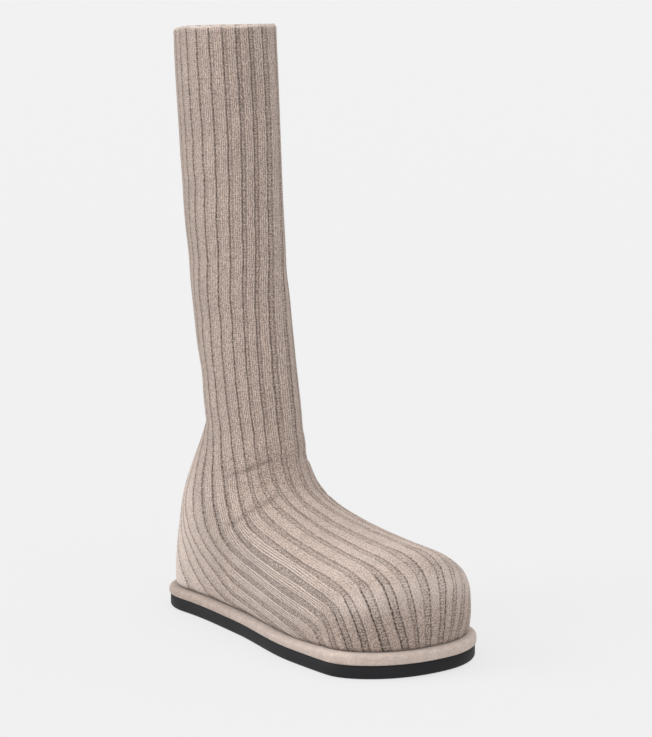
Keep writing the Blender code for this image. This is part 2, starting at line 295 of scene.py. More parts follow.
# rib paths on the outer side, the same inside: rib number from the front, then points of depth down
# the foot and share of the way round; half numbers are the purl bands where the ribs turn sharply
ribPaths = (
    (1.0, (0, .105), (.12, .087), (.24, .070), (.36, .060), (.60, .058), (.72, .048), (1, .030)),
    (2.0, (0, .183), (.12, .157), (.24, .121), (.36, .098), (.54, .096), (.78, .077), (1, .051)),
    (3.0, (0, .262), (.12, .222), (.24, .185), (.36, .153), (.48, .140), (.66, .127), (.83, .112),
     (1, .085)),
    (3.5, (0, .304), (.12, .256), (.24, .219), (.36, .190), (.48, .168), (.66, .150), (.83, .132),
     (1, .106)),
    (4.0, (0, .347), (.12, .301), (.24, .259), (.30, .258), (.36, .238), (.42, .210), (.54, .195),
     (.66, .174), (.83, .152), (1, .128)),
    (4.5, (0, .393), (.12, .341), (.24, .299), (.30, .302), (.36, .305), (.42, .275), (.48, .248),
     (.54, .229), (.66, .199), (.83, .170), (1, .148)),
    (5.0, (0, .440), (.12, .380), (.18, .351), (.30, .345), (.38, .370), (.42, .365), (.48, .323),
     (.54, .290), (.60, .275), (.66, .244), (.72, .209), (.83, .189), (1, .164)),
    (5.5, (0, .490), (.12, .437), (.24, .395), (.30, .394), (.36, .418), (.45, .455), (.48, .449),
     (.54, .387), (.60, .347), (.66, .309), (.72, .261), (.78, .218), (.88, .199), (1, .180)),
    (6.0, (0, .540), (.12, .494), (.24, .451), (.30, .452), (.42, .522), (.48, .558), (.54, .561),
     (.60, .485), (.66, .388), (.72, .332), (.78, .260), (.83, .233), (.92, .212), (1, .197)),
    (6.5, (0, .586), (.12, .533), (.24, .506), (.30, .517), (.42, .582), (.51, .620), (.60, .601),
     (.66, .535), (.72, .409), (.78, .322), (.83, .263), (.88, .242), (1, .216)),
    (7.0, (0, .632), (.12, .572), (.18, .565), (.30, .583), (.42, .638), (.54, .675), (.60, .652),
     (.66, .622), (.72, .552), (.78, .397), (.83, .326), (.88, .265), (.96, .243), (1, .234)),
    (7.5, (0, .671), (.12, .619), (.18, .615), (.30, .635), (.42, .685), (.50, .708), (.60, .690),
     (.66, .662), (.72, .623), (.78, .519), (.83, .386), (.88, .312), (.92, .279), (1, .256)),
    (8.0, (0, .710), (.12, .667), (.24, .670), (.36, .706), (.48, .742), (.60, .727), (.66, .696),
     (.72, .666), (.78, .620), (.83, .515), (.88, .372), (.92, .318), (.96, .290), (1, .279)),
    (8.5, (0, .748), (.12, .713), (.24, .721), (.36, .752), (.48, .776), (.60, .751), (.72, .699),
     (.78, .659), (.83, .610), (.88, .480), (.92, .376), (.96, .344), (1, .300)),
    (9.0, (0, .784), (.12, .759), (.24, .767), (.36, .792), (.45, .807), (.54, .794), (.66, .753),
     (.72, .727), (.78, .691), (.83, .657), (.88, .604), (.92, .491), (.96, .372), (1, .306)),
    (9.5, (0, .818), (.12, .802), (.24, .806), (.42, .837), (.54, .817), (.66, .780), (.78, .719),
     (.88, .654), (.92, .600), (.96, .496), (1, .405)),
    (10.0, (0, .847), (.18, .834), (.42, .850), (.54, .832), (.66, .798), (.78, .749), (.88, .694),
     (.92, .663), (.96, .591), (1, .494)),
    (11.0, (0, .896), (.24, .880), (.42, .870), (.54, .855), (.66, .825), (.78, .797), (.88, .758),
     (.96, .711), (1, .651)),
    (12.0, (0, .934), (.24, .915), (.48, .890), (.66, .856), (.83, .822), (.92, .793), (1, .775)),
    (13.0, (0, .968), (.24, .950), (.48, .931), (.66, .911), (.83, .879), (1, .853)),
)
# turn of the knit round the leg: share of the shaft below the collar, and share of the way round
shaftTurn = ((-1.00, 0.070), (-0.76, 0.075), (-0.46, 0.052), (-0.31, 0.018), (-0.06, 0.0), (0.0, 0.0))
# rib relief in metres
ribRelief = {
    "open": 0.00042,  # how far an open purl band sinks
    "closed": 0.00012,
    "slit": 0.00115,
    "narrowSlit": 0.7,  # share of the slit's depth beside a narrow purl band
    "slitSpread": 0.034,  # in rib widths
    "turnLine": 0.0007,
    "turnSpread": 0.008,  # share of the depth
}
# lines where the knitter turned the heel: way round and depth down the foot of three points each
turnLines = (
    ((0.137, 0.088), (0.263, 0.128), (0.402, 0.175)),
    ((0.109, 0.240), (0.248, 0.290), (0.533, 0.425)),
)
# line from which the ribs run straight to the toe: way round and depth
bendLine = ((0.0, 0.240), (0.117, 0.288), (0.245, 0.355), (0.539, 0.538), (0.66, 0.62))
# soft folds: way round, negative on the outer side, height, how deep, spread round, spread in height
softFolds = (
    (-0.42, 0.311, 0.0012, 0.30, 0.011),
    (-0.55, 0.258, 0.0009, 0.28, 0.012),
    (-0.38, 0.345, 0.0007, 0.30, 0.012),
    (-0.30, 0.215, 0.0010, 0.35, 0.012),
    (-0.75, 0.175, 0.0010, 0.25, 0.012),
    (0.40, 0.250, 0.0009, 0.40, 0.014),
    (0.70, 0.190, 0.0010, 0.30, 0.012),
    (-0.10, 0.140, 0.0010, 0.40, 0.007),
    (0.15, 0.120, 0.0012, 0.35, 0.006),
)
# colours of the knit: a painted highlight for the tops, the yarn's own light and base, painted shade for
# the hollows, darker painted shade for the slits, and the pale yarn; then places and steps in rib widths
knit = {
    "paintedHighlight": (0.730, 0.630, 0.572),
    "light": (0.560, 0.444, 0.382),
    "base": (0.272, 0.199, 0.164),
    "low": (0.150, 0.110, 0.090),
    "dark": (0.070, 0.048, 0.038),
    "paleYarn": (0.700, 0.620, 0.575),
    "ribEdge": 0.315,  # half the raised rib
    "edgeFade": 0.02,
    "waleStep": 0.150,
    "stitchStep": 0.150,
    "purlStep": 0.220,
    "dotStep": 0.38,
    "slitPlace": 0.365,  # from the rib's crest
    "purlSpread": 0.055,  # how much wider the purl bands grow on the toe
}


def upperSections(down):
    # Section sizes at each share down the upper: -1 at the collar, 0 at the ankle, 1 at the rand.
    # The shaft's and the foot's tables are eased apart, so the fold behind the ankle stays sharp.
    u = upper
    ankleTop = floorOfUpper + max(u["ankleFront"], u["ankleBack"])
    drop = (u["ankleBack"] - u["ankleFront"]) / 2
    height, setback, depth, width = np.array(shaftSections).T
    middle = u["ankleCentre"] - setback * u["setback"]
    level = ankleTop + height * (u["bootHeight"] - u["collarTilt"] / 2 - ankleTop)
    tilt = u["collarTilt"] / 2 * height - (1 - height) * drop
    half = depth * u["depth"] / 2
    sides = [soleSides(rand["ledge"])[i] for i in (0, 1)]
    heelEnd, toeEnd = sides[0][:, 0].min(), sides[0][:, 0].max()
    soleHalf = [np.abs(side[:, 1]).max() for side in sides]
    vampRun, instep, toe, heelRun, heel, spread, plan, dip = np.array(footSections).T
    vampHeight = floorOfUpper + toe * u["toeHeight"] + instep * (u["ankleFront"] - u["toeHeight"])
    ankleHalf, ankleWidth = half[-1], width[-1] * u["width"] / 2
    front, back = u["ankleCentre"] + ankleHalf, u["ankleCentre"] - ankleHalf
    halfWidth, nothing = width * u["width"] / 2, 0 * half
    parts = {
        "frontX": (middle + half, front + vampRun * (toeEnd - front)),
        "frontZ": (level + tilt, vampHeight),
        "backX": (middle - half, back + heelRun * (heelEnd - back)),
        "backZ": (level - tilt, floorOfUpper + heel * u["ankleBack"]),
        "outer": (halfWidth, ankleWidth + spread * (soleHalf[0] - ankleWidth)),
        "inner": (halfWidth, ankleWidth + spread * (soleHalf[1] - ankleWidth)),
        "plan": (nothing, plan),
        "dip": (nothing, dip * u["toeHeight"]),
    }
    sizes = {}
    shaftKnots = np.concatenate([-height, [0.0]])
    footKnots = np.linspace(0, 1, len(footSections))
    for name, (above, below) in parts.items():
        shaftPart = easedColumn(shaftKnots, np.concatenate([above, below[:1]]), np.minimum(down, 0))
        footPart = easedColumn(footKnots, below, np.maximum(down, 0))
        sizes[name] = np.where(down < 0, shaftPart, footPart)
    return sizes


def ribWays(ribs, down):
    # Signed share of the way round at which each rib runs, as rows by ribs: eased down every path,
    # and then from path to path.
    knots = np.array([0.0, *[row[0] / (upper["ribs"] / 2) for row in ribPaths], 1.0])
    at = np.clip(down, 0, 1)
    paths = [easedColumn(*zip(*row[1:]), at) for row in ribPaths]
    paths = np.column_stack([0 * at, *paths, 0 * at + 1])
    ways = np.array([easedColumn(knots, row, np.abs(ribs)) for row in paths])
    ways *= np.where(ribs < 0, -1, 1)
    turned = easedColumn(*zip(*shaftTurn), np.minimum(down, 0))
    return (ways + turned[:, None] + 1) % 2 - 1


def upperForm(ribs, down):
    # The smooth upper as rows by columns. Each ring blends an ellipse into the sole's outline by plan,
    # is straight from back to front in height, sags at its sides by dip, and sinks with the rand.
    sizes = {name: size[:, None] for name, size in upperSections(down).items()}
    ways = ribWays(ribs, down)
    turn = np.linspace(0, np.pi, upper["ringPoints"])
    ellipse = np.column_stack([np.cos(turn) * upper["depth"], np.sin(turn) * upper["width"]])
    roundX, roundY = evenWay(ellipse, np.abs(ways))
    soleX, soleY = [], []
    for index, sign in ((0, -1.0), (1, 1.0)):
        edge = soleSides(rand["ledge"])[index][::-1] * (1, sign)
        alongX, alongY = evenWay(edge, np.abs(ways))
        soleX.append(alongX / ((edge[:, 0].max() - edge[:, 0].min()) / 2))
        soleY.append(alongY / edge[:, 1].max())
    outside = ways < 0
    soleX, soleY = np.where(outside, soleX[0], soleX[1]), np.where(outside, soleY[0], soleY[1])
    plan = sizes["plan"]
    share = (roundX / upper["depth"] * (1 - plan) + soleX * plan + 1) / 2
    wide = roundY / upper["width"] * (1 - plan) + soleY * plan
    x = sizes["backX"] + share * (sizes["frontX"] - sizes["backX"])
    y = wide * np.where(outside, -sizes["outer"], sizes["inner"])
    z = sizes["backZ"] + share * (sizes["frontZ"] - sizes["backZ"]) - sizes["dip"] * wide**2
    z += toeLift(x) * np.clip(down, 0, 1)[:, None]
    z -= randDrop(x) * np.clip(1 - (z - floorOfUpper) / rand["followHeight"], 0, 1)
    return np.stack([x, y, z], -1), ways


def outwardNormals(form):
    # Cross product of the steps down and round, kept level along both open edges.
    down = np.gradient(form, axis=0)
    aside = (np.roll(form, -1, axis=1) - np.roll(form, 1, axis=1)) / 2
    normal = np.cross(down, aside)
    normal[[0, -1], :, 2] = 0
    return normal / np.linalg.norm(normal, axis=2)[:, :, None]


shaftHeight = upper["bootHeight"] - upper["ankleFront"] - floorOfUpper


def gridCorners(rows, columns):
    # Rows and columns of the quads' corners, where the column after the last stands for column 0.
    r, c = np.meshgrid(np.arange(rows - 1), np.arange(columns), indexing="ij")
    row = np.stack([r, r + 1, r + 1, r], -1).reshape(-1, 4)
    column = np.stack([c, c, c + 1, c + 1], -1).reshape(-1, 4)
    return row, column


def meshFrom(name, points, quads, uvValues=None):
    mesh = bpy.data.meshes.new(name)
    mesh.vertices.add(len(points))
    mesh.vertices.foreach_set("co", np.asarray(points, np.float32).ravel())
    mesh.loops.add(quads.size)
    mesh.loops.foreach_set("vertex_index", quads.astype(np.int32).ravel())
    mesh.polygons.add(len(quads))
    mesh.polygons.foreach_set("loop_start", np.arange(0, quads.size, 4, dtype=np.int32))
    if uvValues is not None:
        layer = mesh.uv_layers.new(name="knit")
        layer.uv.foreach_set("vector", np.asarray(uvValues, np.float32).ravel())
    mesh.update(calc_edges=True)
    mesh.validate()
    mesh.polygons.foreach_set("use_smooth", np.ones(len(mesh.polygons), bool))
    made = bpy.data.objects.new(name, mesh)
    scene.collection.objects.link(made)
    return made


def knitColumns():
    # Columns in rib widths from the front, negative on the outer side and ending at the back.
    back = upper["ribs"] / 2
    half = np.array([n + p for n in range(upper["ribs"] // 2 + 1) for p in ribColumns])
    half = half[(half > 0) & (half < back)]
    return np.concatenate([-half[::-1], [0], half, [back]])


def knitRows():
    # Rows down the upper, -1 at the collar, 0 at the ankle and 1 at the rand, closest at the collar.
    return np.concatenate([
        np.array(upper["collarRows"]) / shaftHeight - 1,
        np.linspace(upper["belowCollar"] / shaftHeight - 1, 0, upper["shaftRows"], endpoint=False),
        np.linspace(0, 1, upper["footRows"]),
    ])


def ramp(value, place, fade):
    # 0 at place and 1 a fade beyond it, or before it where the fade is negative.
    return np.clip((value - place) / fade, 0, 1)


def bell(value, middle, spread):
    # exp(-((value - middle) / spread)^2)
    return np.exp(-(((value - middle) / spread) ** 2))


# areas of the knit by the place and fade of their borders: around is the share of the way round, ways
# the same but negative on the outer side, and depth the share down the foot
areas = {
    "side": (("around", 0.70, -0.10), ("around", 0.16, 0.12)),  # where ribs run straight to the toe
    "vamp": (("depth", 0.0, 0.12), ("around", 0.34, -0.12)),
    "heel": (("around", 0.62, 0.15), ("depth", 0.0, 0.20)),
    "shaftFront": (("around", 0.30, -0.12), ("depth", 0.0, -0.05)),
    "open": (("depth", -0.02, 0.30),),
    "broad": (("around", 0.75, -0.10),),
    "lifted": (("ways", -0.95, 0.15), ("ways", -0.36, -0.12)),
    "underTurn": (("around", 0.62, -0.06),),
    "plainHeel": (("around", 0.72, 0.10),),
    "paleHeel": (("around", 0.68, 0.20), ("depth", 0.05, 0.20)),
    "paleVamp": (("around", 0.30, -0.15),),
    # painted light on the top of the toe
    "paintedLightToeTop": (("around", 0.26, -0.08),),
}
# place and fade from bendLine, from toeTurn, from a turn line's ends, and below a turn line
lineFades = {
    "bend": (-0.03, 0.06),
    "toe": (-0.02, 0.04),
    "first": (-0.03, 0.04),
    "last": (0.03, -0.04),
    "below": (0.0, 0.03),
}
# rib number from the front, and the depth at which it turns down over the toe
toeTurn = (
    (0, 0.55), (2, 0.60), (3, 0.66), (4, 0.70), (5, 0.73), (6, 0.80), (7, 0.87), (8, 0.93), (9, 0.96),
)
# how closed, open and broad the purl bands are, and where they begin to sink, in rib widths
purlBands = {
    "heelClosed": 0.55,
    "toeClosed": 0.55,
    "frontOpen": 0.5,
    "sideBroad": 0.38,
    "edge": (0.30, 0.08),
}


def area(zones, name):
    # Product of the ramps that bound an area.
    return np.prod([ramp(zones[field], place, fade) for field, place, fade in areas[name]], axis=0)


def knitZones(place, ways, down):
    # Zones of the knit, each 0 to 1, and where its purl bands open and grow broad.
    around = np.abs(ways)
    depth = down[:, None] + 0 * ways
    number = np.floor(np.abs(place) + 0.5)
    zones = {"ways": ways, "around": around, "depth": depth, "number": number}
    toeStart = np.interp(number[None, :] + 0 * depth, *zip(*toeTurn))
    toe = ramp(depth - toeStart, *lineFades["toe"]) * (number < toeTurn[-1][0])
    pastBend = ramp(depth - np.interp(around, *zip(*bendLine)), *lineFades["bend"])
    side = pastBend * area(zones, "side") * (1 - toe)
    vamp, heel, front = (area(zones, name) for name in ("vamp", "heel", "shaftFront"))
    opened = area(zones, "open") * (1 - purlBands["heelClosed"] * heel)
    opened = np.maximum(opened, purlBands["frontOpen"] * front)
    broad = np.maximum(toe, purlBands["sideBroad"] * side) * area(zones, "broad")
    zones.update(toe=toe, pastBend=pastBend, side=side, vamp=vamp, heel=heel, front=front)
    zones.update(opened=opened, broad=broad)
    return zones


# strength of the slits, cut in and darkened with painted shade, on a rib's heel side,
# and what the front side loses
slits = {
    "heelSide": 0.12,
    "swapped": 0.65,  # on the toe's foremost outer ribs the slit changes sides
    "swappedRibs": 3,
    "vamp": 0.55,
    "shaftFront": 0.60,
    "side": 0.22,
    "sideLoss": 0.78,
    "heelLoss": 0.25,
    "rim": (0.0014, 0.0012),  # metres below the collar's edge
}


def slitStrengths(zones, place, fromTop):
    # Strength of the slit on each rib's heel side and on its front side.
    toe, side, vamp = zones["toe"], zones["side"], zones["vamp"]
    swapped = slits["swapped"] * toe * ((zones["number"] < slits["swappedRibs"]) & (place < 0))
    heelSlit = np.maximum.reduce([
        slits["heelSide"] + swapped,
        slits["vamp"] * vamp,
        slits["shaftFront"] * zones["front"],
        slits["side"] * side,
    ])
    frontSlit = (1 - slits["sideLoss"] * side) * (1 - swapped)
    frontSlit *= (1 - slits["vamp"] * vamp * (1 - toe)) * (1 - slits["heelLoss"] * zones["heel"])
    belowRim = ramp(fromTop, *slits["rim"])
    return heelSlit * belowRim, frontSlit * belowRim


def turnMarks(zones):
    # The lines where the heel was turned, soft across and fading at both ends.
    around, depth = zones["around"], zones["depth"]
    marks = np.zeros_like(around)
    for line in turnLines:
        lineWays, lineDepths = zip(*line)
        across = bell(depth, np.interp(around, lineWays, lineDepths), ribRelief["turnSpread"])
        start = ramp(around - lineWays[0], *lineFades["first"])
        end = ramp(around - lineWays[-1], *lineFades["last"])
        marks = np.maximum(marks, across * start * end)
    return marks


# edges of the knit in metres: the foot tucks in, and the collar rounds over, dips and slumps
footEdge = {
    "tuck": 0.0012,
    "liftedTuck": 0.0004,
    "tuckHeight": 0.0036,
    "lineHeight": 0.0024,
    # line: painted shade in the crease between the knit and the rand
    "line": 2.4,  # strength of the dark line above the rand
    "usual": 0.55,  # of liftedTuck and line elsewhere
}
collarEdge = {
    "round": 0.0014,
    "roundHeight": 0.0020,
    "swell": 0.0003,
    "swellPlace": (0.0030, 0.0018),
    "dip": 0.0007,
    "waves": ((0.0003, 2.1, 0.0), (0.0003, 5.3, 1.0)),  # size, radians a rib, phase
    "dipHeight": 0.0030,
    "slumpHeight": 0.06,
    "backSlump": 0.75,
    "backPlace": (-0.88, 0.20),  # way round, and spread
}
# sideways waver of the ribs: size, radians a metre of height, and phase from rib to rib
wavers = ((0.00016, 205, 2.4), (0.00012, 390, 4.1))
waverFade = 12  # over one twelfth of the shaft and of the foot


def foldsAt(ways, height):
    # Soft folds: round troughs at a place on the tube.
    fold = np.zeros(ways.shape)
    for way, level, deep, wide, tall in softFolds:
        apart = (ways - way + 1) % 2 - 1
        fold += deep * bell(apart, 0, wide) * bell(height, level, tall)
    return fold


# strength of the wales, which also sets their painted highlight, and of the pale yarn by zone
waleLook = {
    "all": 0.60,
    "vampLoss": 0.30,
    "side": 0.9,
    "belowTurn": 0.8,
    "toeLoss": 0.6,
    "vamp": 0.38,
    "heelLoss": 0.4,
}
paleLook = {
    "vamp": 0.35,
    "vampPlace": (0.62, 0.18),  # depth and spread
    "side": 0.15,
    # toe: painted light on the toe's top, which faces up
    "toe": 0.9,
    "toePlace": (0.76, 0.08),
    "rim": (0.00325, -0.0025),  # metres below the collar's edge
}


def paintedLook(zones, fromTop):
    # How clear the wales are and how pale the yarn, each the strongest of its places.
    depth, toe = zones["depth"], zones["toe"]
    lineDepth = np.interp(zones["around"], *zip(*turnLines[1]))
    belowTurn = ramp(depth - lineDepth, *lineFades["below"]) * area(zones, "underTurn")
    clear = np.maximum.reduce([
        waleLook["all"] - waleLook["vampLoss"] * zones["vamp"],
        waleLook["side"] * zones["side"],
        waleLook["belowTurn"] * belowTurn * (1 - zones["pastBend"]),
    ])
    clear *= 1 - waleLook["toeLoss"] * toe
    clear = np.maximum(clear, waleLook["vamp"] * zones["vamp"] * (1 - toe))
    clear *= 1 - waleLook["heelLoss"] * zones["heel"] * area(zones, "plainHeel")
    pale = np.maximum.reduce([
        area(zones, "paleHeel"),
        paleLook["vamp"] * area(zones, "paleVamp") * bell(depth, *paleLook["vampPlace"]),
        paleLook["side"] * zones["side"],
        # painted light on the toe's top
        paleLook["toe"] * area(zones, "paintedLightToeTop") * bell(depth, *paleLook["toePlace"]),
        ramp(fromTop, *paleLook["rim"]) + 0 * depth,
    ])
    return clear, pale


# what is left of each painted channel on the inner wall
innerLook = (0.2, 0.0, 0.0, 1.0)
innerEdges = (0.2, 0.5, 0.0, 1.0)


def makeUpper():
    place = knitColumns()
    down = knitRows()
    form, ways = upperForm(place / (upper["ribs"] / 2), down)
    normal = outwardNormals(form)
    height = form[:, :, 2]
    fromTop = (down[:, None] + 1) * shaftHeight
    fromFloor = height - floorOfUpper + randDrop(form[:, :, 0])
    zones = knitZones(place, ways, down)
    heelSlit, frontSlit = slitStrengths(zones, place, fromTop)
    turnMark = turnMarks(zones)
    broad, opened = zones["broad"], zones["opened"]

    # Relief: purl bands sink, slits cut in beside them, and the lines of the turned heel lie lower.
    phase = np.abs(place) - zones["number"]
    fromCrest = np.abs(phase) + knit["purlSpread"] * broad
    purl = ramp(fromCrest, *purlBands["edge"])
    openShare = opened * (1 - purlBands["toeClosed"] * zones["toe"])
    relief = purl * (ribRelief["closed"] + (ribRelief["open"] - ribRelief["closed"]) * openShare)
    cut = bell(fromCrest, knit["slitPlace"], ribRelief["slitSpread"])
    cut *= ribRelief["narrowSlit"] + (1 - ribRelief["narrowSlit"]) * broad
    relief += ribRelief["slit"] * cut * np.where(phase > 0, heelSlit, frontSlit)
    relief += ribRelief["turnLine"] * turnMark

    # The foot's edge tucks in above the rand, with painted shade in the crease there,
    # and the collar's edge rounds over.
    lifted = footEdge["usual"] + (1 - footEdge["usual"]) * area(zones, "lifted")
    tuck = footEdge["tuck"] + footEdge["liftedTuck"] * lifted
    tuck *= np.clip(1 - fromFloor / footEdge["tuckHeight"], 0, 1) ** 2
    randCreaseShade = footEdge["line"] * lifted * np.clip(1 - fromFloor / footEdge["lineHeight"], 0, 1)
    # from here the turn marks also carry the painted shade of the crease above the rand
    turnMark = np.maximum(turnMark, randCreaseShade)
    rounded = collarEdge["round"] * np.clip(1 - fromTop / collarEdge["roundHeight"], 0, 1) ** 2
    rounded -= collarEdge["swell"] * bell(fromTop, *collarEdge["swellPlace"])

    # Each rib wavers a little to the side, as sines of the height.
    waver = sum(size * np.sin(height * rate + zones["number"] * step) for size, rate, step in wavers)
    waver *= np.sign(place) * np.clip(np.minimum(down + 1, 1 - down) * waverFade, 0, 1)[:, None]
    aside = np.roll(form, -1, axis=1) - np.roll(form, 1, axis=1)
    aside /= np.linalg.norm(aside, axis=2)[:, :, None]
    inward = relief + foldsAt(ways, height) + tuck + rounded
    outer = form - normal * inward[:, :, None] + aside * waver[:, :, None]

    # The collar's edge dips between the ribs and sinks towards the far side of the leg.
    dips = collarEdge["dip"] * purl
    dips += sum(size * np.sin(place * rate + shift) for size, rate, shift in collarEdge["waves"])
    outer[:, :, 2] -= dips * np.clip(1 - fromTop / collarEdge["dipHeight"], 0, 1)
    farSide = 0.5 - 0.5 * np.cos(np.pi * (ways + upper["nearWay"]))
    backWay, backSpread = collarEdge["backPlace"]
    backSide = bell((ways - backWay + 1) % 2 - 1, 0, backSpread)
    slump = upper["collarSlump"] * (farSide + collarEdge["backSlump"] * backSide)
    slump *= np.clip(1 - fromTop / collarEdge["slumpHeight"], 0, 1)
    outer[:, :, 2] -= slump
    form[:, :, 2] -= slump

    clearWales, pale = paintedLook(zones, fromTop)
    look = np.stack([clearWales, opened, pale, broad], -1)
    edges = np.stack([heelSlit, frontSlit, turnMark, np.ones_like(pale)], -1)
    return closedShell(place, form, normal, outer, look, edges)


def closedShell(place, form, normal, outer, look, edges):
    # Outer wall and inner wall on fewer rows as one grid that closes both ways. The uv counts rib widths.
    inside = np.linspace(0, len(form) - 1, upper["innerRows"]).round().astype(int)
    inner = (form - normal * upper["wall"])[inside]
    points = np.vstack([outer, inner[::-1]])
    look = np.vstack([look, look[inside][::-1] * innerLook])
    edges = np.vstack([edges, edges[inside][::-1] * innerEdges])
    step = np.linalg.norm(np.diff(form, axis=0), axis=2)
    along = np.vstack([0 * step[:1], np.cumsum(step, axis=0)]) / upper["ribWidth"]
    along = np.vstack([along, along[inside][::-1]])
    rows, columns = along.shape
    row, column = gridCorners(rows + 1, columns)
    row = row % rows
    quads = row * columns + column % columns
    placeRound = np.append(place, place[-1] + place[place > 0][0])
    uv = np.stack([placeRound[column], along[row, column % columns]], -1)
    made = meshFrom("knitUpper", points.reshape(-1, 3), quads, uv)
    for paintName, paint in (("look", look), ("edges", edges)):
        layer = made.data.attributes.new(paintName, "FLOAT_COLOR", "POINT")
        layer.data.foreach_set("color", paint.astype(np.float32).ravel())
    return made


slabCap = {"rings": 6, "endDraw": 0.12}  # rings of a cap, and how far its ends draw in


def makeSlab(name, edge, count, drop=None):
    # A plate with the sole's outline: edge gives inset and height from bottom to top, and the rings of
    # both caps draw in to a line along the middle.
    rings = []
    for inset, z in edge:
        flat = soleRing(inset, count)
        level = z + toeLift(flat[:, 0])
        if drop is not None:
            level -= drop(flat[:, 0]) * (z - edge[0][1]) / (edge[-1][1] - edge[0][1])
        rings.append(np.column_stack([flat, level]))
    shares = np.linspace(0, 1, slabCap["rings"] + 1)[1:]
    drawnIn = [(1 - share * slabCap["endDraw"], 1 - share, 1) for share in shares]
    below = [rings[0] * scale for scale in drawnIn]
    above = [rings[-1] * scale for scale in drawnIn]
    points = np.array(below[::-1] + rings + above)
    row, column = gridCorners(len(points), count)
    quads = row * count + column % count
    return meshFrom(name, points.reshape(-1, 3), quads[:, ::-1])


knitUpper = makeUpper()
print("upper", len(knitUpper.data.polygons), "faces")

edgeTurns = np.linspace(0, np.pi / 2, 7)
suedeLow = rubber["thickness"] + rubber["gap"]
suedeHigh = suedeLow + rand["thickness"]
suedeEdge = [(inset, suedeLow + rise) for inset, rise in rand["bottomEdge"]]
suedeEdge += [
    (rand["rounding"] * (1 - np.cos(t)), suedeHigh - rand["rounding"] * (1 - np.sin(t))) for t in edgeTurns
]
suedeRand = makeSlab("suedeRand", suedeEdge, 360, randDrop)

radius, setback = rubber["edgeRadius"], rubber["setback"]
rubberEdge = [(setback + radius * (1 - np.sin(t)), radius * (1 - np.cos(t))) for t in edgeTurns]
rubberEdge += [
    (setback, rubber["thickness"] - rubber["topBevel"]),
    (setback + rubber["topInset"], rubber["thickness"]),
]
outsole = makeSlab("rubberOutsole", rubberEdge, 360)

bedInset = rand["ledge"] + upper["wall"] + bed["clearance"]
bedLow = suedeHigh + rubber["gap"]
bedHigh = bedLow + bed["thickness"]
bedEdge = [(bedInset, bedLow), (bedInset, bedHigh - bed["bevel"]), (bedInset + bed["bevel"], bedHigh)]
footbed = makeSlab("footbed", bedEdge, 240)
print("sole pieces made")

# Materials


def node(tree, kind, **values):
    made = tree.nodes.new(kind)
    for key, value in values.items():
        setattr(made, key, value)
    return made


def wire(tree, source, target):
    tree.links.new(source, target)


def fill(tree, made, values):
    # Numbers and colours become the sockets' values, and the rest is wired in.
    for name, value in values.items():
        target = made.inputs[name]
        if isinstance(value, (int, float)):
            target.default_value = value
        elif isinstance(value, tuple):
            target.default_value = (*value, 1)
        else:
            wire(tree, value, target)


def mathNode(tree, operation, *values, clamp=False):
    made = node(tree, "ShaderNodeMath", operation=operation, use_clamp=clamp)
    fill(tree, made, dict(enumerate(values)))
    return made.outputs[0]


def plus(tree, a, b, clamp=False):
    return mathNode(tree, "ADD", a, b, clamp=clamp)


def times(tree, a, b, clamp=False):
    return mathNode(tree, "MULTIPLY", a, b, clamp=clamp)


def scaled(tree, value, factor, shift, clamp=False):
    # value * factor + shift
    return mathNode(tree, "MULTIPLY_ADD", value, factor, shift, clamp=clamp)


def centred(tree, noise, swing):
    # Noise from 0 to 1 turned into a swing about 0.
    return scaled(tree, noise, swing, -swing / 2)


def apart(tree, a, b):
    # |a - b|
    return mathNode(tree, "ABSOLUTE", mathNode(tree, "SUBTRACT", a, b))


def wave(tree, along, step, shift):
    # Sine that repeats at every step, with a shift in radians.
    return mathNode(tree, "SINE", scaled(tree, along, 2 * np.pi / step, shift))


def band(tree, value, start, end):
    # Smooth step from 0 at start to 1 at end.
    made = node(tree, "ShaderNodeMapRange", interpolation_type="SMOOTHSTEP")
    fill(tree, made, {"Value": value, "From Min": start, "From Max": end})
    return made.outputs["Result"]


def blend(tree, factor, a, b):
    made = node(tree, "ShaderNodeMix", data_type="FLOAT")
    fill(tree, made, {0: factor, 2: a, 3: b})
    return made.outputs[0]


def mixColours(tree, factor, a, b, kind="MIX"):
    made = node(tree, "ShaderNodeMix", data_type="RGBA", blend_type=kind)
    fill(tree, made, {0: factor, 6: a, 7: b})
    return made.outputs[2]


def dimmed(tree, colour, level):
    # The colour times a grey of this level.
    grey = node(tree, "ShaderNodeCombineColor")
    fill(tree, grey, {0: level, 1: level, 2: level})
    return mixColours(tree, 1.0, colour, grey.outputs[0], "MULTIPLY")


def separated(tree, kind, source):
    made = node(tree, kind)
    wire(tree, source, made.inputs[0])
    return tuple(made.outputs)[:3]


def noiseNode(tree, vector, scale, detail, rough):
    made = node(tree, "ShaderNodeTexNoise")
    fill(tree, made, {"Vector": vector, "Scale": scale, "Detail": detail, "Roughness": rough})
    return made.outputs["Fac"]


def bumpNode(tree, shader, height, strength, distance):
    made = node(tree, "ShaderNodeBump")
    fill(tree, made, {"Strength": strength, "Distance": distance, "Height": height})
    wire(tree, made.outputs["Normal"], shader.inputs["Normal"])


def blankMaterial(name):
    # A new material with its tree, its shader and the object coordinates.
    made = bpy.data.materials.new(name)
    made.use_nodes = True
    tree = made.node_tree
    spot = node(tree, "ShaderNodeTexCoord").outputs["Object"]
    return made, tree, tree.nodes["Principled BSDF"], spot


fibreDetail = {"Fine": 3.0, "Broad": 2.0}


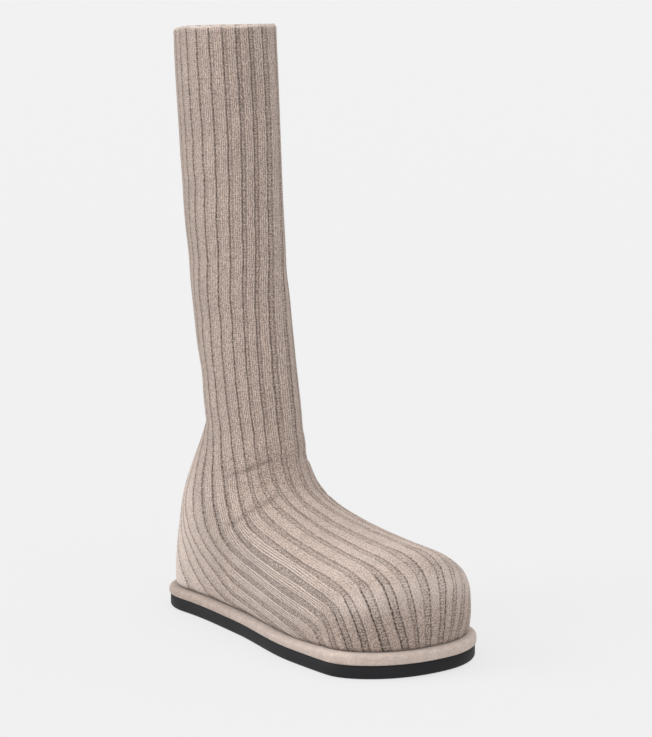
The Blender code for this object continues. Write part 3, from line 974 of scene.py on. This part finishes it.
def fibreGroup():
    # Fine and broad noise of the fibres, shared by all materials.
    group = bpy.data.node_groups.new("fibreNap", "ShaderNodeTree")
    addSocket = group.interface.new_socket
    addSocket(name="Coordinates", in_out="INPUT", socket_type="NodeSocketVector")
    for out in fibreDetail:
        addSocket(name=out + " Scale", in_out="INPUT", socket_type="NodeSocketFloat")
        addSocket(name=out, in_out="OUTPUT", socket_type="NodeSocketFloat")
    given, handed = node(group, "NodeGroupInput").outputs, node(group, "NodeGroupOutput").inputs
    for out, detail in fibreDetail.items():
        noise = noiseNode(group, given["Coordinates"], given[out + " Scale"], detail, 0.5)
        wire(group, noise, handed[out])
    return group


fibreNap = fibreGroup()


def placeFibre(tree, spot, fine, broad):
    made = node(tree, "ShaderNodeGroup", node_tree=fibreNap)
    fill(tree, made, {"Coordinates": spot, "Fine Scale": fine, "Broad Scale": broad})
    return made.outputs["Fine"], made.outputs["Broad"]


# noises of the knit as scale, detail and roughness
yarnNoise = {
    "speck": (1250.0, 2.0, 0.60),
    "crinkle": (950.0, 2.0, 0.60),
    "strand": (5.5, 2.0, 0.50),
    "streak": (15.0, 2.0, 0.55),
    "drift": (3.4, 3.0, 0.60),
    "broken": (6.0, 3.0, 0.65),
}
# texture of the knit, where pairs are a factor and a shift, and for a band its start and end
yarn = {
    "fibre": (1500.0, 42.0),  # fine and broad scale
    "streakStretch": (1.0, 0.22, 1.0),
    "sway": 0.10,  # how far a rib's edges drift, in rib widths
    "waleSway": 1.4,  # radians
    "waleBeads": (0.6, 0.68),
    "chevronSlant": 5.0,
    "chevronSway": 5.0,
    "chevrons": (0.16, -1.05),
    "streaks": 1.6,
    "specks": 1.5,
    "broadEven": 0.40,  # how far ribs even out on the toe
    "evenRib": 0.46,
    "purlSway": 9.0,
    "purlRows": 0.24,
    "purlCrinkle": (3.2, -1.18),
    "purlOpen": (0.6, 0.35),
    "paleEven": 0.45,
    "evenPale": 0.42,
    "dotSway": 9.0,
    "dots": 0.48,
    "slitFloor": 0.18,
    "slitNarrow": (-0.36, 1.0),
    "slitBand": (0.044, 0.010),
    "turnLine": 0.74,
    "yarnBand": (0.39, 0.61),
    "paleYarn": 0.40,
    "hollowBand": (-0.06, 0.50),
    "crestBand": (0.50, 0.95),
    "crestShine": (0.74, 0.12),
    "purlTone": (-0.36, 0.94),
    "ribTone": 0.12,
    # painted shade: the toe, and more weakly the side, darker where the purl bands grow broad
    "paintedToeShade": (-0.08, 1.03),
    "patchTone": (0.26, 0.87),
    "paleTone": (0.10, 1.0),
    "speckHeight": 0.5,
    "fibreHeight": 0.35,
    "slitHeight": -0.8,
    "bump": (0.95, 0.0006),  # strength and distance
    "roughness": (0.12, 0.84),
}
knitSurface = {
    "Specular IOR Level": 0.15,
    "Sheen Weight": 0.30,
    "Sheen Roughness": 0.50,
    "Sheen Tint": (0.95, 0.90, 0.86),
}


def ribPhase(tree, across, grid, broadened):
    # Place across one rib, -0.5 to 0.5 with 0 on its crest, shifted a little by noise.
    drift = centred(tree, noiseNode(tree, grid, *yarnNoise["drift"]), yarn["sway"])
    mirrored = plus(tree, mathNode(tree, "ABSOLUTE", across), drift)
    phase = plus(tree, mathNode(tree, "FRACT", plus(tree, mirrored, 0.5)), -0.5)
    fromCrest = scaled(tree, broadened, knit["purlSpread"], mathNode(tree, "ABSOLUTE", phase))
    return phase, fromCrest


def stitchLevels(tree, spot, grid, phase, along, speck):
    # Heights, 0 to 1, of the three kinds of stitch.
    strand = noiseNode(tree, grid, *yarnNoise["strand"])

    # Wales: four rounded lines along the rib, beaded by the stitches.
    waleTurn = scaled(tree, phase, 2 * np.pi / knit["waleStep"], np.pi)
    waleTurn = plus(tree, waleTurn, centred(tree, strand, yarn["waleSway"]))
    wale = scaled(tree, mathNode(tree, "COSINE", waleTurn), 0.5, 0.5)
    wale = times(tree, wale, scaled(tree, speck, *yarn["waleBeads"]), clamp=True)

    # Plain knit: yarn specks with small chevrons down each wale.
    stretch = node(tree, "ShaderNodeMapping")
    stretch.inputs["Scale"].default_value = yarn["streakStretch"]
    wire(tree, grid, stretch.inputs["Vector"])
    streak = noiseNode(tree, stretch.outputs["Vector"], *yarnNoise["streak"])
    sawtooth = mathNode(tree, "FRACT", scaled(tree, phase, 1 / knit["waleStep"], 0.5))
    slant = times(tree, apart(tree, sawtooth, 0.5), yarn["chevronSlant"])
    slant = plus(tree, slant, centred(tree, strand, yarn["chevronSway"]))
    plain = scaled(tree, wave(tree, along, knit["stitchStep"], slant), *yarn["chevrons"])
    plain = scaled(tree, streak, yarn["streaks"], plain)
    plain = scaled(tree, speck, yarn["specks"], plain, clamp=True)

    # Purl: short bumps across the band, slanted and broken up by the yarn.
    crinkle = noiseNode(tree, spot, *yarnNoise["crinkle"])
    rows = wave(tree, along, knit["purlStep"], times(tree, crinkle, yarn["purlSway"]))
    crinkled = scaled(tree, crinkle, *yarn["purlCrinkle"])
    purl = scaled(tree, rows, yarn["purlRows"], crinkled, clamp=True)
    return wale, plain, purl


def slitLines(tree, grid, phase, along, fromCrest, broadened, edges):
    # Slits: a dotted, broken line of painted shade beside each rib, and painted shade along the lines
    # where the heel was turned and in the crease above the rand.
    heelSlit, frontSlit, turnMark = separated(tree, "ShaderNodeSeparateColor", edges)
    broken = noiseNode(tree, grid, *yarnNoise["broken"])
    dots = wave(tree, along, knit["dotStep"], times(tree, broken, yarn["dotSway"]))
    slitFloor = plus(tree, broken, yarn["slitFloor"])
    slitDepth = scaled(tree, dots, yarn["dots"], slitFloor, clamp=True)
    fromSlit = apart(tree, fromCrest, knit["slitPlace"])
    fromSlit = times(tree, fromSlit, scaled(tree, broadened, *yarn["slitNarrow"]))
    line = band(tree, fromSlit, *yarn["slitBand"])
    strength = blend(tree, mathNode(tree, "GREATER_THAN", phase, 0.0), frontSlit, heelSlit)
    paintedGapShade = times(tree, times(tree, line, strength), slitDepth)
    turned = times(tree, turnMark, times(tree, broken, yarn["turnLine"]))
    return mathNode(tree, "MAXIMUM", paintedGapShade, turned)


def knitMaterial():
    made, tree, shader, spot = blankMaterial("ribKnit")
    grid = node(tree, "ShaderNodeUVMap", uv_map="knit").outputs["UV"]
    across, along, _ = separated(tree, "ShaderNodeSeparateXYZ", grid)
    look = node(tree, "ShaderNodeAttribute", attribute_name="look")
    edges = node(tree, "ShaderNodeAttribute", attribute_name="edges")
    clearWales, opened, pale = separated(tree, "ShaderNodeSeparateColor", look.outputs["Color"])
    broadened = look.outputs["Alpha"]
    fine, patch = placeFibre(tree, spot, *yarn["fibre"])
    speck = noiseNode(tree, spot, *yarnNoise["speck"])
    phase, fromCrest = ribPhase(tree, across, grid, broadened)
    paintedGapShade = slitLines(tree, grid, phase, along, fromCrest, broadened, edges.outputs["Color"])

    # Level: wales or plain knit on the rib, purl or plain knit beside it.
    wale, plain, purl = stitchLevels(tree, spot, grid, phase, along, speck)
    rib = band(tree, fromCrest, knit["ribEdge"] + knit["edgeFade"], knit["ribEdge"] - knit["edgeFade"])
    ribLevel = blend(tree, clearWales, plain, wale)
    ribLevel = blend(tree, times(tree, broadened, yarn["broadEven"]), ribLevel, yarn["evenRib"])
    purlLevel = blend(tree, scaled(tree, opened, *yarn["purlOpen"]), plain, purl)
    level = blend(tree, rib, purlLevel, ribLevel)
    level = blend(tree, times(tree, pale, yarn["paleEven"]), level, yarn["evenPale"])

    # Colour: light and dark fibres spun together, with a painted highlight on the crests and painted shade
    # in the hollows and slits.
    body = mixColours(tree, band(tree, speck, *yarn["yarnBand"]), knit["base"], knit["light"])
    body = mixColours(tree, times(tree, pale, yarn["paleYarn"]), body, knit["paleYarn"])
    toned = mixColours(tree, band(tree, level, *yarn["hollowBand"]), knit["low"], body)
    shine = scaled(tree, clearWales, *yarn["crestShine"])
    bright = times(tree, band(tree, level, *yarn["crestBand"]), shine)
    toned = mixColours(tree, bright, toned, knit["paintedHighlight"])
    toned = mixColours(tree, paintedGapShade, toned, knit["dark"])

    # Tone: by rib and purl band, with painted shade over the toe, by patches of the yarn, and lighter
    # where the yarn is pale or, on the toe's top, painted light.
    halfway = times(tree, broadened, mathNode(tree, "SUBTRACT", 1.0, broadened))
    purlTone = scaled(tree, halfway, *yarn["purlTone"])
    ribTone = scaled(tree, halfway, yarn["ribTone"], scaled(tree, broadened, *yarn["paintedToeShade"]))
    tone = times(tree, scaled(tree, patch, *yarn["patchTone"]), blend(tree, rib, purlTone, ribTone))
    tone = times(tree, tone, scaled(tree, pale, *yarn["paleTone"]))
    wire(tree, dimmed(tree, toned, tone), shader.inputs["Base Color"])

    height = scaled(tree, speck, yarn["speckHeight"], level)
    height = scaled(tree, fine, yarn["fibreHeight"], height)
    height = scaled(tree, paintedGapShade, yarn["slitHeight"], height)
    bumpNode(tree, shader, height, *yarn["bump"])
    wire(tree, scaled(tree, fine, *yarn["roughness"]), shader.inputs["Roughness"])
    fill(tree, shader, knitSurface)
    return made


# fibre holds two scales, bump strength and distance, and other pairs a factor and a shift
suede = {
    "light": (0.590, 0.492, 0.440),
    "dark": (0.330, 0.262, 0.222),
    "fibre": (1900.0, 150.0),
    "brushed": (620.0, 3.0, 0.6),  # scale, detail and roughness
    "brushedLight": (1.2, -0.10),
    "patches": 0.7,
    # painted sheen: the suede lighter towards the toe
    "paintedToeSheen": (2.2, -0.12),  # lighter towards the toe
    "specks": (0.6, 0.70),
    "bump": (0.6, 0.0004),
    "roughness": (0.15, 0.78),
    "surface": {"Specular IOR Level": 0.2, "Sheen Weight": 0.3, "Sheen Roughness": 0.35},
}


def suedeMaterial():
    made, tree, shader, spot = blankMaterial("randSuede")
    fine, broad = placeFibre(tree, spot, *suede["fibre"])
    brushed = noiseNode(tree, spot, *suede["brushed"])
    along = separated(tree, "ShaderNodeSeparateXYZ", spot)[0]
    # Colour mix: random patches, a painted sheen growing towards the toe, and the brushed nap.
    light = plus(tree, centred(tree, broad, suede["patches"]), scaled(tree, along, *suede["paintedToeSheen"]))
    light = plus(tree, light, scaled(tree, brushed, *suede["brushedLight"]), clamp=True)
    colour = mixColours(tree, light, suede["dark"], suede["light"])
    colour = dimmed(tree, colour, scaled(tree, fine, *suede["specks"]))
    wire(tree, colour, shader.inputs["Base Color"])
    bumpNode(tree, shader, plus(tree, fine, brushed), *suede["bump"])
    wire(tree, scaled(tree, brushed, *suede["roughness"]), shader.inputs["Roughness"])
    fill(tree, shader, suede["surface"])
    return made


soleRubber = {
    "colours": ((0.0085, 0.0085, 0.0100), (0.0140, 0.0140, 0.0160)),
    "mix": (0.8, 0.0),  # how much the broad and the fine fibre mix the two colours
    "fibre": (900.0, 40.0),
    "bump": (0.12, 0.0002),
    "roughness": (0.2, 0.50),
    "surface": {"Specular IOR Level": 0.22},
}
lining = {
    "colours": ((0.34, 0.28, 0.24), (0.50, 0.42, 0.37)),
    "mix": (0.5, 0.5),
    "fibre": (1300.0, 70.0),
    "bump": (0.4, 0.0003),
    "roughness": (0.0, 0.9),
    "surface": {"Specular IOR Level": 0.5},
}


def plainMaterial(name, looks):
    # Two colours mixed by the fibre, for the rubber and the footbed.
    made, tree, shader, spot = blankMaterial(name)
    fine, broad = placeFibre(tree, spot, *looks["fibre"])
    broadShare, fineShare = looks["mix"]
    mixed = scaled(tree, fine, fineShare, times(tree, broad, broadShare))
    wire(tree, mixColours(tree, mixed, *looks["colours"]), shader.inputs["Base Color"])
    bumpNode(tree, shader, fine, *looks["bump"])
    wire(tree, scaled(tree, broad, *looks["roughness"]), shader.inputs["Roughness"])
    fill(tree, shader, looks["surface"])
    return made


dressing = (
    (knitUpper, knitMaterial(), "upper", "knit"),
    (suedeRand, suedeMaterial(), "midsole", "suede"),
    (outsole, plainMaterial("blackRubber", soleRubber), "outsole", "rubber"),
    (footbed, plainMaterial("footbedCloth", lining), "insole", "lining"),
)
for piece, material, nodeName, slotName in dressing:
    piece.data.materials.append(material)
    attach(piece, "root")
    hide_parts(nodeName)
print("materials placed")
